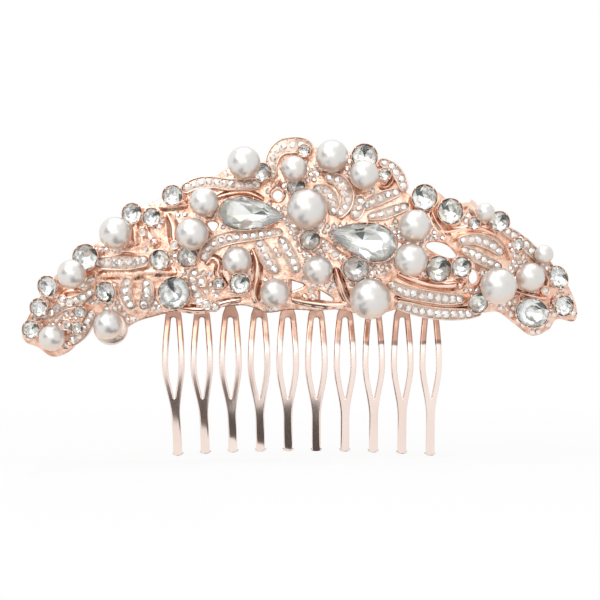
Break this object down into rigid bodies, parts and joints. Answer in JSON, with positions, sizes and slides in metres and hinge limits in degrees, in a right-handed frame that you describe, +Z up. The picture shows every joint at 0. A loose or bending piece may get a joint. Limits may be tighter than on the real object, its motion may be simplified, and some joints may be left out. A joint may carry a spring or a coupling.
{
  "type": "decorative hair comb",
  "caption": "Decorative hair comb: a domed rose-gold openwork spray of scrolls and leaves set with pearls and clear crystals, fixed to a stamped comb with needle-eye teeth.",
  "frame": {"origin": "on the middle surface of the comb, in the middle of the part's width, level with the ornament's lower edge, where the comb goes into the hair", "axes": "+X across the comb to the viewer's right, +Y from the ornament's front towards the head, +Z up from the teeth to the ornament"},
  "size_m": [0.1128, 0.0201, 0.0645],
  "materials": {
    "rose_gold_cast": "rose-gold plated casting, polished",
    "rose_gold_comb": "rose-gold plated sheet, polished",
    "pearl": "imitation pearl with a pearly lacquer",
    "crystal": "clear faceted glass with a foil back"
  },
  "bodies": {
    "root": {"cast_frame": "rose_gold_cast", "comb": "rose_gold_comb", "drop_stone_left": "crystal", "oval_stone_right": "crystal", "oval_stone_rim": "crystal", "pear_stone_left": "crystal", "pear_stone_right": "crystal", "pearl_arch": "pearl", "pearl_crown": "pearl", "pearl_left_drop": "pearl", "pearl_left_end": "pearl", "pearl_left_inner": "pearl", "pearl_left_middle": "pearl", "pearl_left_outer": "pearl", "pearl_left_tip": "pearl", "pearl_lower_left": "pearl", "pearl_lower_middle": "pearl", "pearl_lower_right": "pearl", "pearl_right": "pearl", "pearl_right_crest": "pearl", "pearl_right_end": "pearl", "pearl_right_lower": "pearl", "pearl_right_rim": "pearl", "pearl_right_upper": "pearl", "pearl_top_left": "pearl", "pearl_top_right": "pearl", "pearl_upper_left": "pearl", "pearl_upper_right": "pearl", "stone_arch": "crystal", "stone_centre": "crystal", "stone_crown": "crystal", "stone_left_band_inner": "crystal", "stone_left_band_outer": "crystal", "stone_left_crest": "crystal", "stone_left_end_middle": "crystal", "stone_left_end_upper": "crystal", "stone_left_fan_lower": "crystal", "stone_left_fan_upper": "crystal", "stone_left_rim_inner": "crystal", "stone_left_rim_outer": "crystal", "stone_left_shoulder": "crystal", "stone_left_tip": "crystal", "stone_left_vein": "crystal", "stone_lower_left": "crystal", "stone_right_crest_end": "crystal", "stone_right_crest_inner": "crystal", "stone_right_crest_outer": "crystal", "stone_right_inner": "crystal", "stone_right_lower": "crystal", "stone_right_middle": "crystal", "stone_right_rim": "crystal", "stone_right_shoulder": "crystal", "stone_right_tip": "crystal", "stone_scroll": "crystal", "stone_top_left": "crystal", "stone_top_right": "crystal", "stone_under_pear": "crystal", "stone_volute": "crystal"}
  },
  "joints": []
}
